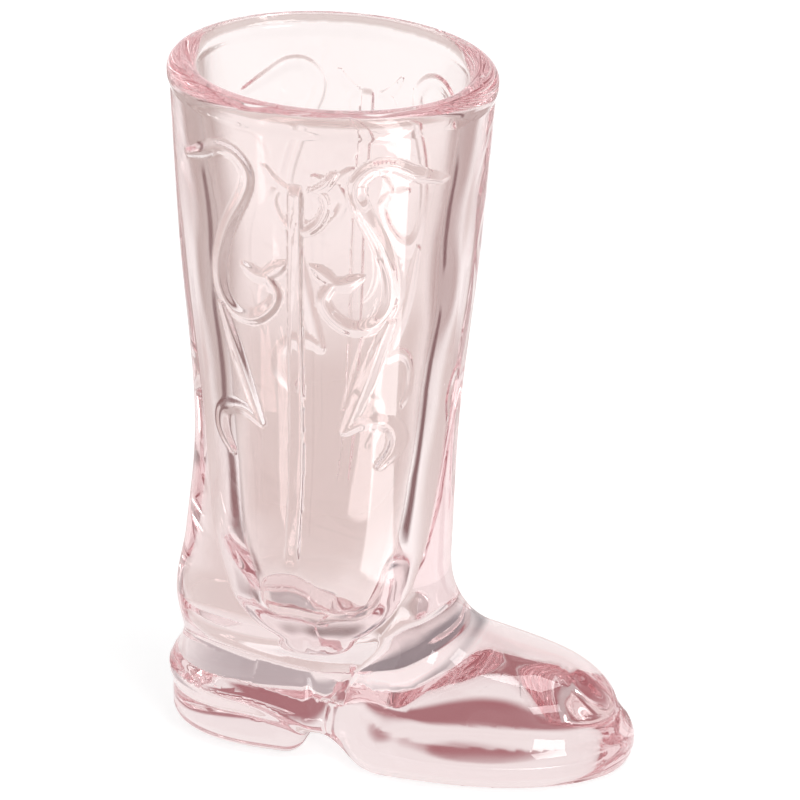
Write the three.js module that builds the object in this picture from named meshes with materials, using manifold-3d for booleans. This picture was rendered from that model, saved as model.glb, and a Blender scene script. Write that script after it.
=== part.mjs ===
// A boot-shaped shot glass, pressed in one piece from pale pink glass.
// Millimetres, +Z up, +X towards the toe. The two sides of the boot mirror each other in the plane Y = 0.
// The origin is on the surface that the boot stands on, under the middle of its length.
import * as THREE from "three";
import { mergeVertices } from "three/addons/utils/BufferGeometryUtils.js";
import Module from "manifold-3d";

// Overall size. Places along the boot are measured forwards from the plane that touches its back.
const HEIGHT = 101.4;
const LENGTH = 66.6;

// Rim, a rounded lip with a slight bead outside
const RIM_BACK = 0.35;
const RIM_LENGTH = 46.2;
const RIM_WIDTH = 36.6;
const RIM_WALL = 4;
const LIP_RADIUS = 1.7;
const BEAD_HEIGHT = 3.2;
const BEAD_PROUD = 0.35;

// Leg, as oval sections: height, place of the back and of the front, and width
const THROAT_HEIGHT = 76;
const THROAT_BACK = 1.75;
const THROAT_FRONT = 44.2;
const THROAT_WIDTH = 33.3;
const ANKLE_HEIGHT = 46;
const ANKLE_BACK = 3.8;
const ANKLE_FRONT = 40.9;
const ANKLE_WIDTH = 28.6;
const INSTEP_HEIGHT = 29;
const INSTEP_BACK = 2.3;
const INSTEP_FRONT = 40.1;
const INSTEP_WIDTH = 27.8;
const COUNTER_HEIGHT = 19.5;
const COUNTER_BACK = 0.8;
const COUNTER_FRONT = 39.6;
const COUNTER_WIDTH = 26.6;
const SEAT_HEIGHT = 13;
const SEAT_BACK = 1.7;
const SEAT_FRONT = 38;
const SEAT_WIDTH = 20.4;

// Foot, a domed vamp that runs down from the instep to a blunt round toe
const VAMP_HEIGHT = 18;
const VAMP_START = 44;
const TOE_START = 56;
const TOE_HEIGHT = 15.4;
const FILLET_RADIUS = 5;
const VAMP_SQUARE = 2.3;
const TOE_ROUND = 2.6;

// Sole, one thick edge all round that steps up along the shank to the heel seat
const SOLE_THICK = 5.5;
const SOLE_EDGE_RADIUS = 1.8;
const WELT_LEDGE = 2;
const WELT_RISE = 0.7;
const WELT_ROOT = 1;
const SHANK_BACK = 13;
const SHANK_FRONT = 34.5;
const BALL_PLACE = 41.2;
const BALL_WIDTH = 30;
const TOE_SQUARE = 2.05;
const JOINT_PLACE = 34.4;
const JOINT_WIDTH = 28.2;
const WAIST_PLACE = 25.6;
const WAIST_WIDTH = 20.8;

// Heel, a low block under the back of the sole, with a sloped shoulder above it
const HEEL_HEIGHT = 5.8;
const HEEL_WIDTH = 26.2;
const HEEL_ROUND = 16;
const HEEL_SQUARE = 2.2;
const BREAST_PLACE = 22.3;
const HEEL_INSET = 0.4;
const HEEL_EDGE_RADIUS = 2;
const BREAST_RADIUS = 3;
const SHOULDER_RISE = 5.2;
const SHOULDER_BACK_RISE = 3.4;
const SHOULDER_INSET = 2.6;

// Cup, a hollow with a rounded floor, as oval sections: height, place of the middle, length and width
const CUP_FLOOR = 15.6;
const CUP_FLOOR_RISE = 13;
const CUP_FLOOR_FLAT = 1;
const CUP_FOOT_HEIGHT = 31;
const CUP_FOOT_PLACE = 21.7;
const CUP_FOOT_LENGTH = 23.6;
const CUP_FOOT_WIDTH = 18;
const CUP_ANKLE_HEIGHT = 54;
const CUP_ANKLE_PLACE = 22.6;
const CUP_ANKLE_LENGTH = 27.2;
const CUP_ANKLE_WIDTH = 20.4;
const CUP_THROAT_HEIGHT = 76;
const CUP_THROAT_PLACE = 23;
const CUP_THROAT_LENGTH = 31.8;
const CUP_THROAT_WIDTH = 24;
const LEAST_WALL = 3;

// Ornament, raised lines on both sides of the leg. Points are [across, down]: across from the ornament's
// middle line, to the front and mirrored to the back, and down from the top of the rim.
const ORNAMENT_PLACE = 23.7;
const RIB_WIDTH = 2.2;
const RIB_PROUD = 0.42;
const RIB_ROOT = 1;
const RIB_TIP = 0.45;
const SEAM_WIDTH = 2.6;
const SEAM_PROUD = 0.25;
const SEAM_LINE = [[0, 11], [0, 70]];
const SCROLL_LINE = [
  [16, 10], [12.3, 7.6], [8.1, 9.2], [8.5, 14.2], [11.8, 22],
  [11.9, 29.2], [7.6, 32.4], [3.7, 29.6], [4.4, 26],
];
const LEAF_LINE = [[11.4, 32], [9.2, 39.6], [6.1, 48.4]];
const CROOK_LINE = [[6.1, 48.6], [9.3, 47.3], [12.2, 49.2], [10.8, 54]];

// How finely the curves are cut into facets
const LEG_FACETS = 56;
const CUP_FACETS = 44;
const ROUND_STEPS = 5;
const EDGE_STEPS = 4;
const SEAT_STEPS = 4;
const COUNTER_STEPS = 10;
const SHAFT_STEPS = 9;
const RIB_STEPS = 3;
const RIB_LENGTH_STEP = 2.6;
const CUP_STEPS = 12;
const FLOOR_STEPS = 8;
const TOE_STEPS = 10;
const SIDE_STEPS = 18;
const HEEL_STEPS = 8;
const DOME_STEPS = 8;
const WAIST_STEPS = 4;
const FOOT_STEPS = 12;
const VAMP_STEPS = 3;
const WELD_DISTANCE = 1e-4;

const GLASS_PINK = 0xf3d3d6;

// A place measured forwards from the back of the boot, as an X in the part's frame.
const fromBack = (place) => place - LENGTH / 2;

// A smooth curve through [at, value] pairs that never swings past them.
function through(pairs) {
  const at = pairs.map((pair) => pair[0]);
  const value = pairs.map((pair) => pair[1]);
  const slope = at.slice(1).map((end, i) => (value[i + 1] - value[i]) / (end - at[i]));
  const tangent = at.map((_, i) => {
    if (i === 0) return slope[0];
    if (i === at.length - 1) return slope[i - 1];
    const turn = slope[i - 1] * slope[i];
    return turn > 0 ? (2 * turn) / (slope[i - 1] + slope[i]) : 0;
  });
  return (t) => {
    const last = at.length - 2;
    let i = at.findIndex((end) => end > t) - 1;
    if (i === -2) i = last;
    if (i < 0) i = 0;
    const span = at[i + 1] - at[i];
    const s = Math.min(1, Math.max(0, (t - at[i]) / span));
    const rest = 1 - s;
    return (
      value[i] * (1 + 2 * s) * rest * rest +
      value[i + 1] * (3 - 2 * s) * s * s +
      tangent[i] * span * s * rest * rest -
      tangent[i + 1] * span * rest * s * s
    );
  };
}

// A number to a power that keeps its sign, for squared-off rounds.
const signedPower = (x, power) => Math.sign(x) * Math.abs(x) ** power;

// Evenly spaced numbers from first to last, both included.
const steps = (first, last, count) =>
  Array.from({ length: count + 1 }, (_, i) => first + ((last - first) * i) / count);

// A closed surface through rings of equal length. Each ring mirrors itself: point i faces point -i.
function loft(rings) {
  const around = rings[0].length;
  const positions = rings.flat().flatMap((point) => [point.x, point.y, point.z]);
  const triangles = [];
  for (let ring = 0; ring + 1 < rings.length; ring++)
    for (let i = 0; i < around; i++) {
      const next = (i + 1) % around;
      const low = ring * around;
      const high = low + around;
      triangles.push(low + i, low + next, high + next, low + i, high + next, high + i);
    }
  const top = (rings.length - 1) * around;
  for (let i = 0; i < around / 2; i++) {
    const [a, b, c, d] = [i, i + 1, around - i - 1, (around - i) % around];
    if (c !== b) triangles.push(a, c, b);
    if (d !== a) triangles.push(a, d, c);
    if (c !== b) triangles.push(top + a, top + b, top + c);
    if (d !== a) triangles.push(top + a, top + c, top + d);
  }
  const geometry = new THREE.BufferGeometry();
  geometry.setAttribute("position", new THREE.Float32BufferAttribute(positions, 3));
  geometry.setIndex(triangles);
  return geometry;
}

// Joins and cuts
const wasm = await Module();
wasm.setup();

function solid(geometry) {
  const merged = mergeVertices(geometry, WELD_DISTANCE);
  return new wasm.Manifold(
    new wasm.Mesh({
      numProp: 3,
      vertProperties: merged.getAttribute("position").array,
      triVerts: new Uint32Array(merged.index.array),
    }),
  );
}

function geometryOf(made) {
  const mesh = made.getMesh();
  const geometry = new THREE.BufferGeometry();
  geometry.setAttribute("position", new THREE.BufferAttribute(mesh.vertProperties, 3));
  geometry.setIndex(new THREE.BufferAttribute(mesh.triVerts, 1));
  geometry.computeVertexNormals();
  return geometry;
}

// The leg's sections, from its foot hidden in the sole up to the lip
const rimBase = HEIGHT - BEAD_HEIGHT;
const rimFront = RIM_BACK + RIM_LENGTH;
const legStations = [
  [SEAT_HEIGHT, SEAT_BACK, SEAT_FRONT, SEAT_WIDTH],
  [COUNTER_HEIGHT, COUNTER_BACK, COUNTER_FRONT, COUNTER_WIDTH],
  [INSTEP_HEIGHT, INSTEP_BACK, INSTEP_FRONT, INSTEP_WIDTH],
  [ANKLE_HEIGHT, ANKLE_BACK, ANKLE_FRONT, ANKLE_WIDTH],
  [THROAT_HEIGHT, THROAT_BACK, THROAT_FRONT, THROAT_WIDTH],
  [rimBase, RIM_BACK + BEAD_PROUD, rimFront - BEAD_PROUD, RIM_WIDTH - 2 * BEAD_PROUD],
];
const legBack = through(legStations.map(([z, back]) => [z, back]));
const legFront = through(legStations.map(([z, , front]) => [z, front]));
const legWidth = through(legStations.map(([z, , , width]) => [z, width]));

// One oval ring at a height, grown outwards by an amount.
function oval(z, back, front, width, grow, facets) {
  const middle = fromBack((back + front) / 2);
  return Array.from({ length: facets }, (_, i) => {
    const turn = (2 * Math.PI * i) / facets;
    const x = middle + ((front - back) / 2 + grow) * Math.cos(turn);
    return new THREE.Vector3(x, (width / 2 + grow) * Math.sin(turn), z);
  });
}

const legRing = (z, grow = 0, at = z) =>
  oval(z, legBack(at), legFront(at), legWidth(at), grow, LEG_FACETS);

function leg() {
  const rings = [legRing(SEAT_HEIGHT - SOLE_THICK, 0, SEAT_HEIGHT)];
  for (const z of steps(SEAT_HEIGHT, COUNTER_HEIGHT, SEAT_STEPS)) rings.push(legRing(z));
  for (const z of steps(COUNTER_HEIGHT, ANKLE_HEIGHT, COUNTER_STEPS).slice(1)) rings.push(legRing(z));
  for (const z of steps(ANKLE_HEIGHT, rimBase, SHAFT_STEPS).slice(1)) rings.push(legRing(z));
  rings.push(legRing(HEIGHT - LIP_RADIUS, BEAD_PROUD, rimBase));
  for (const turn of steps(0, Math.PI / 2, ROUND_STEPS).slice(1)) {
    const z = HEIGHT - LIP_RADIUS * (1 - Math.sin(turn));
    rings.push(legRing(z, BEAD_PROUD - LIP_RADIUS * (1 - Math.cos(turn)), rimBase));
  }
  return loft(rings);
}

// A point on the outside of the leg, at a place along the boot and a height, and the way the leg faces there.
function legPoint(place, z, side) {
  const half = (legFront(z) - legBack(z)) / 2;
  const halfWidth = legWidth(z) / 2;
  const along = place - (legFront(z) + legBack(z)) / 2;
  const y = side * halfWidth * Math.sqrt(Math.max(0, 1 - (along / half) ** 2));
  const facing = new THREE.Vector3(along / half ** 2, y / halfWidth ** 2, 0).normalize();
  return { point: new THREE.Vector3(fromBack(place), y, z), facing };
}

// A raised line that follows the leg's surface, half sunk in it, with narrow ends.
function rib(line, towards, side, width, proud) {
  const place = (across) => ORNAMENT_PLACE + towards * across;
  const flat = line.map(([across, down]) => new THREE.Vector3(place(across), 0, HEIGHT - down));
  const curve = new THREE.CatmullRomCurve3(flat);
  const count = Math.max(3, Math.round(curve.getLength() / RIB_LENGTH_STEP));
  const path = curve.getSpacedPoints(count).map(({ x, z }) => legPoint(x, z, side));
  const rings = path.map(({ point, facing }, i) => {
    const ahead = path[Math.min(i + 1, count)].point;
    const behind = path[Math.max(i - 1, 0)].point;
    const along = ahead.clone().sub(behind).normalize();
    const across = facing.clone().cross(along).normalize();
    const up = along.clone().cross(across);
    const size = i === 0 || i === count ? RIB_TIP : 1;
    const arch = steps(0, Math.PI, RIB_STEPS).map((turn) => [
      (width / 2) * size * Math.cos(turn),
      proud * size * Math.sin(turn),
    ]);
    const root = [[(-width / 2) * size, -RIB_ROOT], [(width / 2) * size, -RIB_ROOT]];
    return [...arch, ...root].map(([p, q]) =>
      point.clone().addScaledVector(across, p).addScaledVector(up, q),
    );
  });
  return loft(rings);
}

function ornament() {
  const lines = [];
  for (const side of [-1, 1]) {
    lines.push(rib(SEAM_LINE, 0, side, SEAM_WIDTH, SEAM_PROUD));
    for (const towards of [-1, 1])
      for (const line of [SCROLL_LINE, LEAF_LINE, CROOK_LINE])
        lines.push(rib(line, towards, side, RIB_WIDTH, RIB_PROUD));
  }
  return wasm.Manifold.union(lines.map(solid));
}

// The cup: a rounded floor, tapered walls and a mouth that rolls over into the lip
const cupStations = [
  [CUP_FOOT_HEIGHT, CUP_FOOT_PLACE, CUP_FOOT_LENGTH, CUP_FOOT_WIDTH],
  [CUP_ANKLE_HEIGHT, CUP_ANKLE_PLACE, CUP_ANKLE_LENGTH, CUP_ANKLE_WIDTH],
  [CUP_THROAT_HEIGHT, CUP_THROAT_PLACE, CUP_THROAT_LENGTH, CUP_THROAT_WIDTH],
  [HEIGHT, RIM_BACK + RIM_LENGTH / 2, RIM_LENGTH - 2 * RIM_WALL, RIM_WIDTH - 2 * RIM_WALL],
];
const cupBack = through(cupStations.map(([z, place, length]) => [z, place - length / 2]));
const cupFront = through(cupStations.map(([z, place, length]) => [z, place + length / 2]));
const cupWidth = through(cupStations.map(([z, , , width]) => [z, width]));

// One ring of the cup, which leaves at least the least wall inside the leg.
function cupRing(z, grow = 0, at = z) {
  const back = Math.max(cupBack(at), legBack(at) + LEAST_WALL);
  const front = Math.min(cupFront(at), legFront(at) - LEAST_WALL);
  const width = Math.min(cupWidth(at), legWidth(at) - 2 * LEAST_WALL);
  return oval(z, back, front, width, grow, CUP_FACETS);
}

function cup() {
  const rings = [];
  const floorInset = (CUP_FOOT_WIDTH - CUP_FLOOR_FLAT) / 2;
  const wallStart = CUP_FLOOR + CUP_FLOOR_RISE;
  for (const turn of steps(Math.PI / 2, 0, FLOOR_STEPS)) {
    const z = wallStart - CUP_FLOOR_RISE * Math.sin(turn);
    rings.push(cupRing(z, floorInset * (Math.cos(turn) - 1), wallStart));
  }
  for (const z of steps(wallStart, HEIGHT - LIP_RADIUS, CUP_STEPS).slice(1)) rings.push(cupRing(z));
  for (const turn of steps(0, Math.PI / 2, ROUND_STEPS).slice(1)) {
    const z = HEIGHT - LIP_RADIUS * (1 - Math.sin(turn));
    rings.push(cupRing(z, LIP_RADIUS * (1 - Math.cos(turn)), z));
  }
  rings.push(cupRing(HEIGHT + LIP_RADIUS, LIP_RADIUS, HEIGHT));
  return loft(rings);
}

// The sole's outline: a round toe, a waist and a round heel, as [place, half width] from the tip back
const toeLength = LENGTH - BALL_PLACE;
const soleSide = through([
  [HEEL_ROUND, HEEL_WIDTH / 2],
  [BREAST_PLACE, HEEL_WIDTH / 2],
  [WAIST_PLACE, WAIST_WIDTH / 2],
  [JOINT_PLACE, JOINT_WIDTH / 2],
  [BALL_PLACE, BALL_WIDTH / 2],
]);

// Half a squared-off round, from its tip to its full width.
const halfRound = (middle, reach, halfWidth, square, count) =>
  steps(0, Math.PI / 2, count).map((turn) => [
    middle + reach * Math.cos(turn) ** (2 / square),
    halfWidth * Math.sin(turn) ** (2 / square),
  ]);

function soleOutline() {
  const toe = halfRound(BALL_PLACE, toeLength, BALL_WIDTH / 2, TOE_SQUARE, TOE_STEPS);
  const sides = steps(BALL_PLACE, HEEL_ROUND, SIDE_STEPS).slice(1, -1);
  const side = sides.map((place) => [place, soleSide(place)]);
  const heel = halfRound(HEEL_ROUND, -HEEL_ROUND, HEEL_WIDTH / 2, HEEL_SQUARE, HEEL_STEPS);
  return [...toe, ...side, ...heel.reverse()];
}

// The heel block's outline, a little inside the sole's, with a straight breast and rounded corners.
function heelOutline() {
  const halfWidth = HEEL_WIDTH / 2 - HEEL_INSET;
  const corner = steps(0, Math.PI / 2, EDGE_STEPS).map((turn) => [
    BREAST_PLACE - BREAST_RADIUS * (1 - Math.cos(turn)),
    halfWidth - BREAST_RADIUS * (1 - Math.sin(turn)),
  ]);
  const heel = halfRound(HEEL_ROUND, HEEL_INSET - HEEL_ROUND, halfWidth, HEEL_SQUARE, HEEL_STEPS);
  return [[BREAST_PLACE, 0], ...corner, ...heel.reverse()];
}

// A ring made of an outline and its mirror image, set inwards, at a height worked out for each place.
function outlineRing(outline, inset, heightAt) {
  const flat = outline.map(([place, half]) => new THREE.Vector2(place, half));
  const mirrored = flat.slice(1, -1).reverse().map((point) => new THREE.Vector2(point.x, -point.y));
  const all = [...flat, ...mirrored];
  return all.map((point, i) => {
    const ahead = all[(i + 1) % all.length];
    const behind = all[(i + all.length - 1) % all.length];
    const along = ahead.clone().sub(behind).normalize();
    const inwards = typeof inset === "function" ? inset(point.x) : inset;
    const x = point.x - along.y * inwards;
    const y = point.y + along.x * inwards;
    return new THREE.Vector3(fromBack(x), y, heightAt(point.x));
  });
}

// How far the shank lifts the sole at a place along the boot.
function shankLift(place) {
  const share = Math.min(1, Math.max(0, (SHANK_FRONT - place) / (SHANK_FRONT - SHANK_BACK)));
  return HEEL_HEIGHT * share * share * (3 - 2 * share);
}

// From the sole's top edge to the upper: a steep shoulder round the heel, then a low welt to the toe
const shoulderShare = through([
  [0, 0],
  [HEEL_ROUND, 1],
  [BREAST_PLACE, 1],
  [JOINT_PLACE, 0],
]);
const creaseRise = (place) => {
  const low = place < HEEL_ROUND ? SHOULDER_BACK_RISE : WELT_RISE;
  return low + (SHOULDER_RISE - low) * shoulderShare(place);
};
const creaseInset = (place) => {
  const ledge = place < HEEL_ROUND ? SHOULDER_INSET : WELT_LEDGE;
  return ledge + WELT_ROOT + (SHOULDER_INSET - ledge) * shoulderShare(place);
};

function sole() {
  const outline = soleOutline();
  const rings = [];
  for (const turn of steps(Math.PI / 2, 0, EDGE_STEPS)) {
    const inset = SOLE_EDGE_RADIUS * (1 - Math.cos(turn));
    const z = SOLE_EDGE_RADIUS * (1 - Math.sin(turn));
    rings.push(outlineRing(outline, inset, (place) => shankLift(place) + z));
  }
  const edge = SOLE_EDGE_RADIUS / 2;
  for (const turn of steps(0, Math.PI / 2, EDGE_STEPS - 1)) {
    const inset = edge * (1 - Math.cos(turn));
    const z = SOLE_THICK - edge * (1 - Math.sin(turn));
    rings.push(outlineRing(outline, inset, (place) => shankLift(place) + z));
  }
  const crease = (place) => shankLift(place) + SOLE_THICK + creaseRise(place);
  rings.push(outlineRing(outline, creaseInset, crease));
  return loft(rings);
}

function heel() {
  const outline = heelOutline();
  const rings = steps(Math.PI / 2, 0, EDGE_STEPS).map((turn) => {
    const z = HEEL_EDGE_RADIUS * (1 - Math.sin(turn));
    return outlineRing(outline, HEEL_EDGE_RADIUS * (1 - Math.cos(turn)), () => z);
  });
  const buried = (place) => shankLift(place) + SOLE_THICK / 2;
  rings.push(outlineRing(outline, 0, buried));
  return loft(rings);
}

// The vamp's ridge: a gentle fall from the instep, then the round of the toe
const toeEnd = LENGTH - WELT_LEDGE;
const ridgeFall = (VAMP_HEIGHT - TOE_HEIGHT) / (TOE_START - VAMP_START);

function ridge(place) {
  const line = VAMP_HEIGHT - ridgeFall * (place - VAMP_START);
  if (place <= TOE_START) return line;
  const share = Math.min(1, (place - TOE_START) / (toeEnd - TOE_START));
  return SOLE_THICK + (line - SOLE_THICK) * (1 - share ** TOE_ROUND) ** (1 / TOE_ROUND);
}

// How far the fillet between the vamp and the front of the leg stands above the vamp.
function filletRise(place, y) {
  const middle = (INSTEP_BACK + INSTEP_FRONT) / 2;
  const across = Math.min(1, Math.abs(2 * y) / INSTEP_WIDTH);
  const legSurface = middle + (INSTEP_FRONT - middle) * Math.sqrt(1 - across * across);
  const share = Math.min(1, Math.max(0, 1 - (place - legSurface) / FILLET_RADIUS));
  return FILLET_RADIUS * (1 - Math.sqrt(1 - share * share));
}

function vampHalfWidth(place) {
  const share = Math.max(0, (place - BALL_PLACE) / (toeEnd - BALL_PLACE));
  const full = BALL_WIDTH / 2 - WELT_LEDGE;
  if (place > BALL_PLACE) return full * Math.max(0, 1 - share ** TOE_SQUARE) ** (1 / TOE_SQUARE);
  return Math.min(full, soleSide(place) - WELT_LEDGE);
}

// A domed section across the foot, on a straight-sided root that is hidden in the sole.
function vampRing(place) {
  const half = vampHalfWidth(place);
  const base = SOLE_THICK + shankLift(place);
  const rise = ridge(place) - base;
  const round = 2 / VAMP_SQUARE;
  const dome = steps(Math.PI / 2, 0, DOME_STEPS).map((turn) => [
    half * signedPower(Math.cos(turn), round),
    base + rise * signedPower(Math.sin(turn), round),
  ]);
  for (const point of dome.slice(0, -1)) point[1] += filletRise(place, point[0]);
  const root = [half, base - SOLE_THICK / 2];
  const right = [...dome, root];
  const left = right.slice(1).reverse().map(([y, z]) => [-y, z]);
  return [...right, ...left].map(([y, z]) => new THREE.Vector3(fromBack(place), -y, z));
}

function vamp() {
  const filletEnd = INSTEP_FRONT + FILLET_RADIUS;
  const places = [
    ...steps(HEEL_ROUND, WAIST_PLACE, WAIST_STEPS),
    ...steps(WAIST_PLACE, filletEnd, FOOT_STEPS).slice(1),
    ...steps(filletEnd, TOE_START, VAMP_STEPS).slice(1),
  ];
  const toe = steps(0, Math.PI / 2, TOE_STEPS).slice(1, -1).map((turn) => {
    return TOE_START + (toeEnd - TOE_START) * Math.sin(turn) ** (2 / TOE_ROUND);
  });
  return loft([...places, ...toe].map(vampRing));
}

const outside = [leg(), vamp(), sole(), heel()].map(solid);
const boot = wasm.Manifold.union([...outside, ornament()]).subtract(solid(cup()));

const glass = new THREE.MeshStandardMaterial({
  color: GLASS_PINK,
  roughness: 0.05,
  metalness: 0,
  transparent: true,
  opacity: 0.45,
});

const group = new THREE.Group();
const mesh = new THREE.Mesh(geometryOf(boot), glass);
mesh.name = "glass_boot";
group.add(mesh);

export default group;
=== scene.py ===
"""Dresses the boot shot glass: one pressed piece of pale pink glass on a white studio floor.

The glass and the camera are sized in millimetres, which become metres when they are made.
The floor, the lamps and the cards are sized in metres.
Places along the boot run forwards from the plane that touches its back.
"""

import logging
import math
from dataclasses import dataclass, field
from enum import Enum

import bmesh
import bpy
import numpy as np
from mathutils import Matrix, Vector


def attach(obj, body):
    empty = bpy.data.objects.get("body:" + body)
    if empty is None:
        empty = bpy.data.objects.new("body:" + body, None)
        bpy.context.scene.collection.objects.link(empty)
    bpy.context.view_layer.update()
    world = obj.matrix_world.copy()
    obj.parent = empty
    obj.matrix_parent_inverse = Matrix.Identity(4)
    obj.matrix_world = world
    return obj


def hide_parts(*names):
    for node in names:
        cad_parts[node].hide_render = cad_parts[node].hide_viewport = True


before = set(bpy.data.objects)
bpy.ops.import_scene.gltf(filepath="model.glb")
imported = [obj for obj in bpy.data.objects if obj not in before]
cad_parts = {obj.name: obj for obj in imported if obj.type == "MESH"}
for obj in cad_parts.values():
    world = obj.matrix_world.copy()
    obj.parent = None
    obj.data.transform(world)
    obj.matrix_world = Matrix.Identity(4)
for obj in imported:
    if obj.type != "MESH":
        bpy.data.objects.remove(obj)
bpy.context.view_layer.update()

LOG = logging.getLogger("boot_glass")
MM = 0.001
TINY = 1e-6

# How far a point moves where a slope is measured, in millimetres
NUDGE = 0.05

Array = np.ndarray
Point = tuple[float, ...]


@dataclass(frozen=True)
class Curve:
    """A smooth curve through stations that never swings past them."""

    at: Point
    value: Point
    level_ends: bool = False

    def __call__(self, t: Array) -> Array:
        """Reads the curve.

        Args:
            t: Where to read it; beyond the ends it keeps the end values.

        Returns:
            The curve's value at each t.
        """
        at, value = np.array(self.at), np.array(self.value)
        slope = np.diff(value) / np.diff(at)
        turn = slope[:-1] * slope[1:]
        total = np.where(turn > 0, slope[:-1] + slope[1:], 1.0)
        inner = np.where(turn > 0, 2 * turn / total, 0.0)
        ends = (0.0, 0.0) if self.level_ends else (slope[0], slope[-1])
        tangent = np.concatenate([[ends[0]], inner, [ends[1]]])
        i = np.clip(np.searchsorted(at, t, side="right") - 1, 0, len(at) - 2)
        span = at[i + 1] - at[i]
        s = np.clip((t - at[i]) / span, 0.0, 1.0)
        rest = 1.0 - s
        low = value[i] * (1 + 2 * s) * rest**2 + tangent[i] * span * s * rest**2
        high = value[i + 1] * (3 - 2 * s) * s**2 - tangent[i + 1] * span * rest * s**2
        return low + high


def smooth_step(t: Array) -> Array:
    """Eases from 0 to 1 as t goes from 0 to 1."""
    s = np.clip(t, 0.0, 1.0)
    return s * s * (3 - 2 * s)


def round_join(a: Array, b: Array, radius: float | Array) -> Array:
    """Joins two solids with a fillet.

    Args:
        a: Distances to the first solid, negative inside.
        b: Distances to the second solid.
        radius: The fillet's radius.

    Returns:
        Distances to the joined solid.
    """
    reach = np.hypot(np.maximum(radius - a, 0.0), np.maximum(radius - b, 0.0))
    return np.maximum(radius, np.minimum(a, b)) - reach


def round_cut(a: Array, b: Array, radius: float) -> Array:
    """Keeps what two solids share, with their common edge rounded over.

    Args:
        a: Distances to the first solid, negative inside.
        b: Distances to the second solid.
        radius: The edge's radius.

    Returns:
        Distances to the shared solid.
    """
    reach = np.hypot(np.maximum(radius + a, 0.0), np.maximum(radius + b, 0.0))
    return np.minimum(-radius, np.maximum(a, b)) + reach


def oval_distance(along: Array, across: Array, half_length: Array, half_width: Array) -> Array:
    """Measures how far points are outside an oval.

    Args:
        along: Offsets from the oval's middle along its length.
        across: Offsets across it.
        half_length: Half of the oval's length.
        half_width: Half of its width.

    Returns:
        Distances, negative inside.
    """
    share = np.hypot(along / half_length, across / half_width)
    fall = np.hypot(along / half_length**2, across / half_width**2)
    scale = np.where(fall > TINY, share / np.maximum(fall, TINY), half_width)
    return (share - 1.0) * scale


def squared_round(along: Array, across: Array, reach: float, half_width: float, power: float) -> Array:
    """Measures how far points are outside a squared-off round end.

    Args:
        along: Offsets from where the round starts, towards its tip.
        across: Offsets across it.
        reach: From the start to the tip.
        half_width: Half of the width at the start.
        power: 2 for a true ellipse, more for a squarer end.

    Returns:
        Distances, negative inside.
    """
    u = np.maximum(along, 0.0) / reach
    v = np.abs(across) / half_width
    share = np.maximum((u**power + v**power) ** (1 / power), TINY)
    du = (u / share) ** (power - 1) / reach
    dv = (v / share) ** (power - 1) / half_width
    return (share - 1.0) / np.maximum(np.hypot(du, dv), TINY)


@dataclass(frozen=True)
class Stations:
    """Oval sections one above another: heights, backs, fronts and widths."""

    height: Point
    back: Point
    front: Point
    width: Point

    def distance(self, place: Array, y: Array, z: Array) -> Array:
        """Measures how far points are outside the section at their own height.

        Args:
            place: Places along the boot.
            y: Offsets across it.
            z: Heights.

        Returns:
            Distances, negative inside.
        """
        back = Curve(self.height, self.back)(z)
        front = Curve(self.height, self.front)(z)
        width = Curve(self.height, self.width)(z)
        middle = (back + front) / 2
        return oval_distance(place - middle, y, (front - back) / 2, width / 2)

    def middle(self, z: Array) -> Array:
        """Finds the middle of the sections.

        Args:
            z: Heights.

        Returns:
            The place of the middle at each height.
        """
        back = Curve(self.height, self.back)(z)
        front = Curve(self.height, self.front)(z)
        return (back + front) / 2


@dataclass(frozen=True)
class Stroke:
    """One raised line of the ornament, as (across, height, half width) points."""

    points: tuple[Point, ...]
    proud: float = 0.38
    slim: float = 1.15
    steps: int = 6

    def line(self) -> Array:
        """Draws the stroke as a fine chain on a smooth curve.

        Returns:
            Rows of (across, height, half width).
        """
        knots = np.array(self.points)
        if len(knots) == 2:
            return knots
        ends = [2 * knots[0] - knots[1]], [2 * knots[-1] - knots[-2]]
        padded = np.concatenate([ends[0], knots, ends[1]])
        chain = []
        for a, b, c, d in zip(padded, padded[1:], padded[2:], padded[3:]):
            for s in np.linspace(0, 1, self.steps, endpoint=False):
                bend = (c - a) * s + (2 * a - 5 * b + 4 * c - d) * s**2
                chain.append(b + 0.5 * (bend + (3 * b - a - 3 * c + d) * s**3))
        return np.array([*chain, knots[-1]])

    def raised(self, across: Array, z: Array) -> Array:
        """Works out how far the stroke raises the leg's surface.

        Args:
            across: Offsets from the ornament's middle line.
            z: Heights.

        Returns:
            How far each point is raised.
        """
        nearest = np.full(across.shape, np.inf)
        line = self.line()
        for (ax, az, ar), (bx, bz, br) in zip(line, line[1:]):
            length = max((bx - ax) ** 2 + (bz - az) ** 2, TINY)
            s = np.clip(((across - ax) * (bx - ax) + (z - az) * (bz - az)) / length, 0, 1)
            away = np.hypot(across - ax - s * (bx - ax), z - az - s * (bz - az))
            nearest = np.minimum(nearest, away / (self.slim * (ar + s * (br - ar))))
        return self.proud * np.maximum(1 - nearest**2, 0.0) ** 2


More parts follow.
